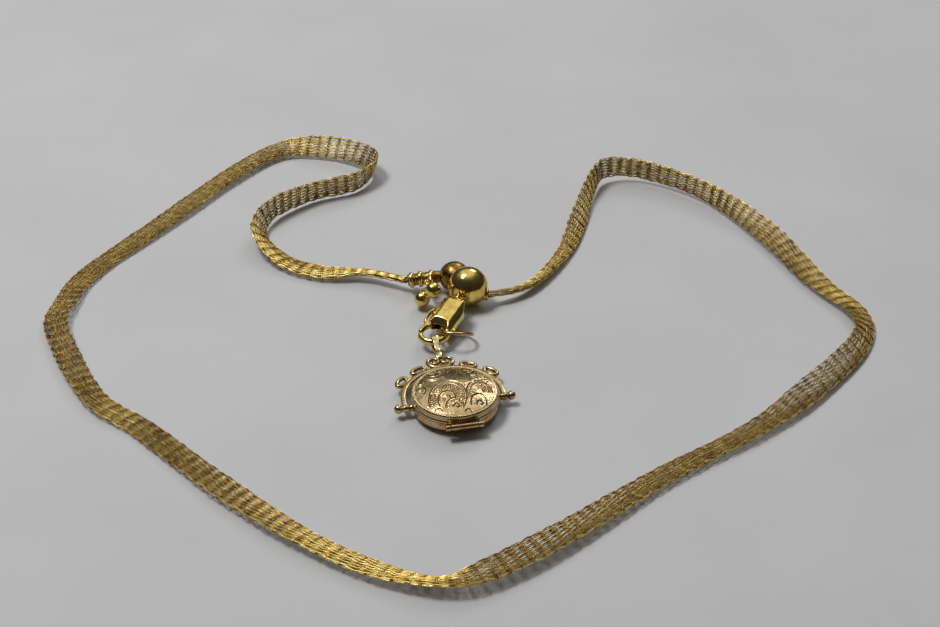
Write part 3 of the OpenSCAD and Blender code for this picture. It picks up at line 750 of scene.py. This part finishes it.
def bail_piece():
    hook, foot = np.array([15.42, 1.89]), np.array([11.45, 1.5])
    a = np.linspace(0, 2 * np.pi, 400, endpoint=False)
    d = np.stack([np.cos(a), np.sin(a)], 1)
    on_hook = d @ hook + 0.9 > d @ foot + 0.57
    line = np.where(on_hook[:, None], hook + 0.9 * d, foot + 0.57 * d)
    steps = np.diff(np.vstack([line, line[:1]]), axis=0)
    run = np.concatenate([[0], np.cumsum(np.linalg.norm(steps, axis=1))])
    at = np.linspace(0, run[-1], 120, endpoint=False)
    line = np.stack([np.interp(at, run, np.append(line[:, k], line[0, k])) for k in (0, 1)], 1)
    t = np.clip((line[:, 0] - 11.2) / 4.6, 0, 1)
    middle = foot[1] + (hook[1] - foot[1]) * np.clip((line[:, 0] - 11.45) / 3.97, 0, 1)
    squeeze = 1 - 0.46 * np.sin(np.pi * np.clip((line[:, 0] - 11.6) / 3.1, 0, 1)) ** 2
    z = middle + (line[:, 1] - middle) * squeeze
    path = np.stack([0 * z, line[:, 0], z], 1)
    width = 0.66 + 0.5 * t ** 1.5
    profile = rounded_box(0.28, 1.0, 0.09, 4)
    profile[:, 0] += 0.05 * (1 - (2 * profile[:, 1]) ** 2) * np.sign(profile[:, 0])
    build("bail_strap", [sweep(path, profile, closed=True, scale=np.stack([np.ones(120), width], 1),
                               up=(1, 0, 0))], PALE, "bail", ["bail"], sharp=60)


def scroll(side, loop_angle, foot_angle):
    """A wire that lies along the bow, then curls outwards into an open loop with a small ball end."""
    a = np.radians(np.linspace(foot_angle, loop_angle, 14))
    tail = np.stack([8.02 * np.sin(a), 8.02 * np.cos(a)], 1)
    out = np.array([math.sin(a[-1]), math.cos(a[-1])])
    t = np.linspace(0, 1, 44)[1:]
    b = np.radians(335) * t
    r = 0.73 - 0.25 * t ** 1.6
    loop = (8.7 - 0.93 * r * np.cos(b))[:, None] * out
    loop = loop + (1.85 * r * np.sin(b))[:, None] * np.array([out[1], -out[0]])
    line = np.vstack([tail, loop])
    path = np.stack([side * line[:, 0], line[:, 1] + LEG, np.full(len(line), PIVOT_Z)], 1)
    n = len(path)
    k = np.arange(n) / (n - 1)
    scale = (1.4 - 0.3 * k) * np.minimum(1, 0.45 + 2.5 * k)
    scale[-3:] *= (0.98, 0.85, 0.5)
    end = put(globe(0.3, 20, 14), np.eye(3), path[-3])
    return [sweep(path, circle(14, 0.28), scale=scale), end]


def bow_pieces():
    a = np.radians(np.linspace(180, 0, 90))
    arc = np.stack([7.4 * np.cos(a), LEG + 7.4 * np.sin(a)], 1)
    leg = (0.0, 0.3, 0.6, 0.85)
    line = np.vstack([[(-7.4, y) for y in leg], arc, [(7.4, y) for y in leg[::-1]]])
    path = np.column_stack([line, np.full(len(line), PIVOT_Z)])
    n = len(path)
    end = np.minimum(np.arange(n), n - 1 - np.arange(n))
    tall = np.interp(end, [0, 4, 16], [0.72, 0.86, 1.0])
    wide = np.interp(end, [0, 4, 16], [0.9, 0.95, 1.0])
    profile = rounded_box(0.78, 1.2, 0.24, 6)
    profile[:, 0] += 0.05 * (1 - (profile[:, 1] / 0.59) ** 2) * np.sign(profile[:, 0])
    build("bow", [sweep(path, profile, scale=np.stack([wide, tall], 1))], ROSE, "bow", ["bow_band"],
          sharp=60)
    for name, side, loop_angle, foot in (("scroll_left_upper", -1, 25, 9), ("scroll_left_lower", -1, 50, 34),
                                         ("scroll_right_upper", 1, 25, 9), ("scroll_right_lower", 1, 50, 34)):
        build(name.replace("scroll", "curl"), scroll(side, loop_angle, foot), ROSE, "bow", [name])
    half = [(0, 9.05), (-0.55, 9.13), (-1.2, 9.45), (-1.68, 10.05), (-1.74, 10.75), (-1.4, 11.28),
            (-0.9, 11.46), (-0.5, 11.28), (-0.3, 10.86), (-0.34, 10.4), (-0.7, 10.16), (-1.02, 10.38),
            (-0.98, 10.62)]
    left = spline(half, 6)
    line = np.vstack([left[::-1], left[1:] * np.array([-1, 1])]) * np.array([1.08, 1]) + np.array([-0.15, 0])
    path = np.column_stack([line, np.full(len(line), PIVOT_Z)])
    n = len(path)
    k = np.abs(np.arange(n) / (n - 1) * 2 - 1)
    scale = 1.26 - 0.42 * k ** 2
    scale[[0, -1]] *= 0.6
    scale[[1, -2]] *= 0.9
    ends = [put(globe(0.25, 20, 14), np.eye(3), path[i]) for i in (1, -2)]
    build("top_curl", [sweep(path, circle(16, 0.28), scale=scale), *ends], ROSE, "bow", ["top_scroll"])
    for word, side in (("left", -1), ("right", 1)):
        axis = ((0, 0, PIVOT_Z), (side, 0, PIVOT_Z))
        collar = [(0.26, 6.72), (0.4, 6.76), (0.52, 6.95), (0.56, 7.3), (0.54, 7.6), (0.42, 7.82),
                  (0.32, 7.9), (0.26, 7.92)]
        build("collar_" + word, [along(lathe(fillet(collar, 0.2, 3), 40, loop=True), *axis)], ROSE, "bow",
              ["pivot_collar_" + word])
        a = np.linspace(-1.1, np.pi / 2, 18)
        ball = [(0.67 * math.cos(t), 8.45 + 0.67 * math.sin(t)) for t in a]
        pin = [(0.003, 6.13), (0.2, 6.13), (0.25, 6.2), (0.25, 7.8), (0.33, 7.86), (0.36, 7.9)]
        ball[-1] = (0.003, 9.12)
        build("pivot_" + word, [along(lathe(pin + ball, 40), *axis)], ROSE, "bow",
              ["pivot_pin_" + word], sharp=50)


# ---------------------------------------------------------------- locket

def smear(x, w):
    return np.exp(-(x / w) ** 2)


def spiral(u, v, cx, cy, tall, r0, r1, a0, a1):
    """Signed distance to a spiral stroke, with V stretched by tall, and how far along it each point lies."""
    du, dv = u - cx, (v - cy) * tall
    a, rho = np.degrees(np.arctan2(dv, du)), np.hypot(du, dv)
    best, where = np.full(u.shape, 99.0), np.zeros(u.shape)
    for wrap in range(-2, 4):
        t = (a + 360 * wrap - a0) / (a1 - a0)
        ok = (t >= 0) & (t <= 1)
        d = rho - r0 * (r1 / r0) ** np.clip(t, 0, 1)
        use = ok & (np.abs(d) < np.abs(best))
        best, where = np.where(use, d, best), np.where(use, t, where)
    return best, where


def stroke(d, t, w, ends=0.06):
    fade = smoothstep(0, ends, t) * smoothstep(0, ends, 1 - t)
    return smear(d, w * (0.5 + 0.5 * fade)) * fade


def engraving(x, y):
    """Depth of the hand engraving in mm at points of the cover, from 0 to about 0.12."""
    c, s = math.cos(math.radians(12)), math.sin(math.radians(12))
    u, v = c * x - s * y, s * x + c * y
    depth = np.zeros(u.shape)

    def plume(cx, cy, tall, r, a0, a1, curl, flutes=0, beads=0, deep=0.09):
        nonlocal depth
        d, t = spiral(u, v, cx, cy, tall, r, r * curl, a0, a1)
        depth = np.maximum(depth, deep * stroke(d, t, 0.075))
        if beads:
            e = d + 0.27
            depth = np.maximum(depth, deep * stroke(e, t, 0.13) * (0.5 - 0.5 * np.cos(2 * np.pi * beads * t)))
            depth = np.maximum(depth, 0.7 * deep * stroke(d + 0.5, t, 0.05))
        if flutes:
            band = ((d < -0.58) & (d > -0.58 - 0.42 * r)) * stroke(0 * d, t, 1.0)
            cut = np.maximum(0, np.cos(2 * np.pi * (flutes * t + 0.55 * d))) ** 2
            depth = np.maximum(depth, 0.85 * deep * band * cut)

    plume(-0.92, -2.5, 0.70, 2.95, 215, -40, 0.86, flutes=26, beads=40, deep=0.11)
    plume(-1.0, -2.75, 0.72, 1.55, 230, -10, 0.7, flutes=12, deep=0.11)
    plume(-3.1, -2.2, 0.8, 0.62, 260, -60, 0.35, deep=0.12)
    plume(0.1, -4.3, 0.78, 1.42, 200, -25, 0.8, flutes=14, beads=22, deep=0.1)
    plume(0.35, -4.2, 0.85, 0.55, 210, -160, 0.4, deep=0.12)
    plume(3.7, -1.1, 0.62, 2.15, 218, 0, 0.82, flutes=20, beads=30, deep=0.11)
    plume(3.6, -3.1, 0.66, 1.35, 215, -30, 0.7, flutes=10, beads=0, deep=0.12)
    plume(3.75, -3.3, 0.8, 0.6, 230, -120, 0.4, deep=0.12)
    plume(-5.0, -0.6, 0.62, 0.95, 250, -60, 0.6, flutes=9, deep=0.1)
    plume(-3.0, 4.1, 1.0, 2.45, 172, 385, 0.97, deep=0.07)
    plume(-3.05, 4.2, 1.0, 2.1, 178, 380, 0.97, deep=0.06)
    plume(-3.1, 4.3, 0.95, 1.45, 170, 395, 0.7, flutes=11, deep=0.075)
    plume(-2.2, 5.0, 0.9, 0.8, 160, 420, 0.5, deep=0.07)
    plume(2.5, 4.7, 1.35, 2.3, 182, 352, 0.98, deep=0.065)
    plume(2.5, 4.75, 1.35, 1.95, 180, 355, 0.95, deep=0.055)
    plume(1.8, 4.9, 1.2, 1.2, 165, 390, 0.6, flutes=9, deep=0.07)
    plume(4.1, 3.2, 0.9, 1.1, 120, 350, 0.6, flutes=9, deep=0.07)
    plume(5.1, 1.2, 0.7, 0.7, 100, 330, 0.5, deep=0.08)
    plume(-5.0, 1.9, 0.8, 0.75, 200, 420, 0.55, deep=0.07)
    plume(2.1, -5.2, 1.0, 0.6, 200, -60, 0.5, flutes=6, deep=0.09)
    plume(-2.2, -5.1, 1.0, 0.7, 250, -20, 0.5, flutes=6, deep=0.09)
    shield = smoothstep(1.05, 0.8, np.hypot((u - 0.35) / 2.3, (v - 3.0) / 1.9))
    shield = np.maximum(shield, smoothstep(1.05, 0.85, np.hypot((u - 1.3) / 1.6, (v - 1.9) / 1.0)))
    reach = np.hypot(x, y)
    inside = smoothstep(5.95, 5.75, reach)
    grain = 0.5 + 0.5 * np.sin(9.2 * u + 2.4 * np.sin(3.1 * v)) * np.sin(8.3 * v + 2.2 * np.sin(2.7 * u + 1))
    matt = 0.022 * grain * (1 - shield) * (depth < 0.03)
    depth = (np.maximum(depth, matt)) * inside * (1 - 0.97 * shield)
    depth = np.maximum(depth, 0.03 * smear(reach - 5.86, 0.05))
    return 1.25 * depth


def locket_pieces():
    n = 250
    g = np.linspace(-1, 1, n + 1)
    gx, gy = np.meshgrid(g, g, indexing="ij")
    top_r = 6.04
    x, y = top_r * gx * np.sqrt(1 - gy * gy / 2), top_r * gy * np.sqrt(1 - gx * gx / 2)
    cut = engraving(x, y)
    z = 4.49 - 20.03 + np.sqrt(20.03 ** 2 - x * x - y * y) - cut
    grid = np.stack([x, y, z], -1).reshape(-1, 3)
    index = np.arange((n + 1) ** 2).reshape(n + 1, n + 1)
    edge = np.concatenate([index[:-1, 0], index[-1, :-1], index[:0:-1, -1], index[0, :0:-1]])
    quads = grid_faces(n + 1, n + 1, False, False)
    angle = np.arctan2(grid[edge, 1], grid[edge, 0])
    m = len(edge)
    profile = [(6.09, 3.57), (6.13, 3.6), (6.19, 3.61), (6.25, 3.58), (6.31, 3.5), (6.37, 3.4), (6.4, 3.28),
               (6.37, 3.16), (6.3, 3.04), (6.26, 2.86), (6.27, 2.68), (6.33, 2.54), (6.39, 2.48), (6.4, 2.38),
               (6.4, 2.25), (6.37, 2.195), (6.15, 2.19), (6.12, 2.26), (6.12, 3.14), (5.4, 3.39), (4.0, 3.74),
               (2.0, 4.05), (0.02, 4.15)]
    # The engraving depth also sets the darkening of the cuts: grime plus painted shade.
    rings, grime_and_shade = [], [cut.ravel() / 0.12]
    teeth = 0.5 + 0.5 * np.cos(angle * 132)
    for k, (r, h) in enumerate(profile):
        mill = 0.035 * teeth if 1 <= k <= 3 else 0
        rings.append(np.stack([(r - mill * 0.4) * np.cos(angle), (r - mill * 0.4) * np.sin(angle),
                               h - mill + 0 * angle], 1))
        # Painted shade on the rim: set values darken the edge of the top, the side groove, the seam with the
        # case and the hollows between the mill teeth.
        grime_and_shade.append(np.full(m, {0: 0.5, 8: 0.25, 9: 0.35, 10: 0.25, 15: 0.4, 16: 0.8}.get(k, 0.0))
                    + (mill / 0.035 * 0.4 if 1 <= k <= 3 else 0))
    loops = [edge] + [len(grid) + k * m + np.arange(m) for k in range(len(profile))]
    side = [np.stack([a, np.roll(a, -1), np.roll(b, -1), b], 1) for a, b in zip(loops, loops[1:])]
    verts = np.vstack([grid, *rings])
    build("locket_cover", [(verts, quads, *side)], ENGRAVED, "cover", ["front_cover"], sharp=70,
          values=("cut", np.concatenate(grime_and_shade)))

    def dome(r):
        return 23.63 - math.sqrt(23.71 ** 2 - r * r)

    outer = [(0.003, 0.0), (1.0, 0.0), (1.9, 0.0)] + [(r, dome(r)) for r in (2.4, 3.2, 4.0, 4.8)]
    outer += [(4.95, dome(4.95) + 0.04), (5.05, dome(5.05) + 0.045), (5.2, dome(5.2))]
    outer += [(5.6, dome(5.6)), (5.9, dome(5.9)), (6.12, 0.8), (6.28, 0.92), (6.37, 1.1)]
    outer += [(6.4, 1.35), (6.39, 1.6),
              (6.34, 1.76), (6.33, 1.84), (6.38, 1.9), (6.4, 1.98), (6.4, 2.08), (6.37, 2.145), (6.07, 2.15),
              (6.05, 2.1), (6.05, 1.14)]
    inner = [(r, max(0.12, dome(r) + 0.36)) for r in (6.05, 5.0, 3.0, 0.003)]
    build("locket_back", [lathe(outer + inner, 160)], CASE, "locket", ["back_case"], sharp=50)
    for name, node, body, z0, hole in (("back_bezel", "back_frame", "locket", 1.4, 5.62),
                                       ("cover_bezel", "cover_frame", "cover", 2.75, 6.08)):
        flip = 1 if body == "locket" else -1
        base = z0 if flip > 0 else z0 + 0.3
        loop = [(4.9, base), (4.9, base + flip * 0.1), (4.98, base + flip * 0.24), (5.1, base + flip * 0.3),
                (5.22, base + flip * 0.2), (5.34, base + flip * 0.2), (5.45, base + flip * 0.28),
                (hole, base + flip * 0.28), (hole, base)]
        build(name, [lathe(fillet(loop, 0.04, 2), 128, loop=True)], YELLOW, body, [node],
              sharp=50)
    for word, side in (("left", -1), ("right", 1)):
        socket = [(0.29, 6.12), (0.5, 6.12), (0.5, 6.5), (0.46, 6.66), (0.38, 6.73), (0.29, 6.74)]
        build("socket_" + word, [along(lathe(fillet(socket, 0.06, 3), 40, loop=True), (0, 0, PIVOT_Z),
                                       (side, 0, PIVOT_Z))], CASE, "locket", ["pivot_socket_" + word],
              sharp=50)

    def knuckle(x0, x1, bore, leaf_z):
        """A hinge barrel with rounded rims, and a leaf that runs from it to the case."""
        wide = x1 - x0
        tube = [(bore, 0), (0.4, 0), (0.445, 0.05), (0.45, 0.1), (0.45, wide - 0.1), (0.445, wide - 0.05),
                (0.4, wide), (bore, wide)]
        barrel = along(lathe(tube, 40, loop=True), (x0, -6.85, 2.17), (x1, -6.85, 2.17))
        box = rounded_box(x1 - x0, 0.36, 0.08, 3)
        line = np.array([(0, -6.84, leaf_z), (0, -6.6, leaf_z), (0, -6.4, leaf_z), (0, -6.2, leaf_z)])
        line[:, 0] = (x0 + x1) / 2
        return [barrel, sweep(line, box)]

    ends = knuckle(-2.76, -2.01, 0.2, 1.92) + knuckle(2.01, 2.76, 0.2, 1.92)
    build("hinge_case_side", ends, CASE, "locket", ["case_knuckles"], sharp=50)
    build("hinge_cover_side", knuckle(-1.95, 1.95, 0.225, 2.42), CASE, "cover", ["cover_knuckle"],
          sharp=50)


chain_pieces()
clasp_pieces()
bail_piece()
bow_pieces()
locket_pieces()

for node, material in {"join_pin": YELLOW, "snap_rim": CASE, "back_window": GLASS, "cover_window": GLASS,
                       "hinge_pin": CASE}.items():
    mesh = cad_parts[node].data
    mesh.materials.clear()
    mesh.materials.append(material)


# ---------------------------------------------------------------- floor and light

def floor():
    material, shader, add, link = tree_of("pale_floor")
    place = add("TexCoord").outputs["Object"]
    cloud = add("TexNoise", {"Vector": place, "Scale": 30, "Detail": 5}).outputs["Fac"]
    link(ramp(add, cloud, [(0.3, (0.6, 0.6, 0.605)), (0.7, (0.64, 0.64, 0.645))]),
         shader.inputs["Base Color"])
    shader.inputs["Roughness"].default_value = 0.9
    shader.inputs["Specular IOR Level"].default_value = 0.2
    mesh = bpy.data.meshes.new("floor")
    s = 1.5
    mesh.from_pydata([(-s, -s, 0), (s, -s, 0), (s, s, 0), (-s, s, 0)], [], [(0, 1, 2, 3)])
    mesh.materials.append(material)
    ground = bpy.data.objects.new("floor", mesh)
    bpy.context.scene.collection.objects.link(ground)
    ground.location = (0, 0, cad_box[0][2])


def light(name, location, aim, size, power, colour=(1, 1, 1)):
    lamp = bpy.data.lights.new(name, "AREA")
    lamp.shape = "RECTANGLE"
    lamp.size, lamp.size_y = size
    lamp.energy = power
    lamp.color = colour
    thing = bpy.data.objects.new(name, lamp)
    bpy.context.scene.collection.objects.link(thing)
    thing.location = location
    thing.rotation_euler = (Vector(aim) - Vector(location)).to_track_quat("-Z", "Y").to_euler()


def room():
    """A dark room round a bright ceiling that leans to the back, as soft studio light gives."""
    world = bpy.data.worlds.new("room")
    bpy.context.scene.world = world
    world.use_nodes = True
    tree = world.node_tree
    back = tree.nodes["Background"]
    coord = tree.nodes.new("ShaderNodeTexCoord")
    dot = tree.nodes.new("ShaderNodeVectorMath")
    dot.operation = "DOT_PRODUCT"
    dot.inputs[1].default_value = tuple(unit([0.04, 0.42, 0.9]))
    shade = tree.nodes.new("ShaderNodeValToRGB")
    stops = ((0.5, 0.03), (0.75, 0.05), (0.854, 0.1), (0.924, 0.34), (0.957, 0.85))
    elements = shade.color_ramp.elements
    elements[0].position, elements[-1].position = stops[0][0], stops[-1][0]
    elements[0].color, elements[-1].color = ((v, v, v, 1) for _, v in (stops[0], stops[-1]))
    for at, v in stops[1:-1]:
        elements.new(at).color = (v, v, v * 1.01, 1)
    remap = tree.nodes.new("ShaderNodeMapRange")
    remap.inputs["From Min"].default_value = -1
    remap.inputs["From Max"].default_value = 1
    tree.links.new(coord.outputs["Generated"], dot.inputs[0])
    tree.links.new(dot.outputs["Value"], remap.inputs["Value"])
    tree.links.new(remap.outputs["Result"], shade.inputs["Fac"])
    tree.links.new(shade.outputs["Color"], back.inputs["Color"])
    back.inputs["Strength"].default_value = 1.0


floor()
room()
light("overhead", (-0.22, 0.14, 0.6), (0, 0.02, 0), (0.22, 0.16), 1.95)
light("back", (0.3, 0.5, 0.4), (0, 0.02, 0), (0.2, 0.2), 0.6)
